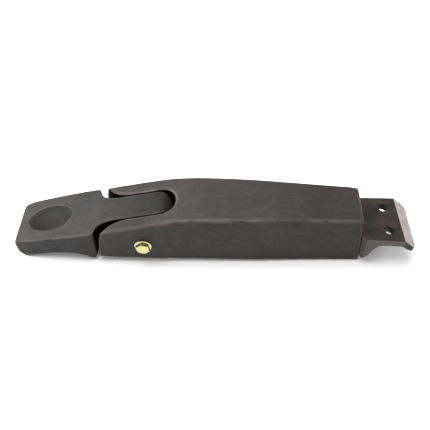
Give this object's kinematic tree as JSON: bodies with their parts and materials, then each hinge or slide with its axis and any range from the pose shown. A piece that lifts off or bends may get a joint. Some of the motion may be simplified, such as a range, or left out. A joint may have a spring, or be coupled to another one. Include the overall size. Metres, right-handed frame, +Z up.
{
  "type": "utility knife handle",
  "caption": "Utility knife handle: long moulded grip with a sprung thumb lever at its tail and a bevelled steel blade holder at its nose.",
  "frame": {"origin": "on the grip's flat underside, on the middle plane, right below the axis of the lever's pivot bolt", "axes": "+X towards the steel nose, +Z up through the thumb side, Y across the grip"},
  "size_m": [0.224, 0.0382, 0.0395],
  "materials": {
    "grip_plastic": "charcoal moulded nylon with a faint warm cast, fine grain and scuffs",
    "lever_plastic": "charcoal moulded nylon, slightly cooler, worn lighter round the thumb hollow",
    "yellow_zinc": "yellow passivated zinc on steel",
    "black_steel": "black oxidised forged steel, with a bright ground bevel",
    "bright_steel": "bright zinc plated or bare steel",
    "nylon": "natural nylon",
    "shoe_brass": "sawn brass"
  },
  "bodies": {
    "grip": {"grip_shell": "grip_plastic", "base_cover": "grip_plastic", "cover_screw_1": "bright_steel", "cover_screw_2": "bright_steel", "cover_screw_3": "bright_steel", "cover_screw_4": "bright_steel", "pivot_bolt": "yellow_zinc", "pivot_lock_nut": "yellow_zinc", "pivot_washer": "yellow_zinc", "pivot_sleeve": "bright_steel", "thrust_washer_near": "nylon", "thrust_washer_far": "nylon", "lever_spring": "bright_steel", "shoe_guide": "nylon", "guide_rail_near": "nylon", "guide_rail_far": "nylon", "stop_pin": "bright_steel"},
    "lever": {"thumb_lever": "lever_plastic", "lever_core": "bright_steel", "core_pin_1": "bright_steel", "core_pin_2": "bright_steel"},
    "brake": {"brake_shoe": "shoe_brass", "shoe_pin": "bright_steel"},
    "nose": {"blade_holder": "black_steel", "tang_bar": "bright_steel", "tang_rivet_1": "bright_steel", "tang_rivet_2": "bright_steel"}
  },
  "joints": [
    {"name": "lever_press", "type": "hinge", "parent": "grip", "child": "lever", "pos_m": [0, 0, 0.0123], "axis": [0, -1, 0], "range_deg": [0, 8], "stiffness_Nm_per_rad": 1.2, "springref_deg": -14.32, "deforming": ["lever_spring"]},
    {"name": "brake_lift", "type": "slide", "parent": "grip", "child": "brake", "axis": [0, 0, 1], "range_m": [0, 0.0039]},
    {"name": "nose_slide", "type": "slide", "parent": "grip", "child": "nose", "axis": [1, 0, 0], "range_m": [0, 0.015]}
  ],
  "couplings": [
    {"joint": "brake_lift", "follows": "lever_press", "m_per_rad": 0.027}
  ]
}
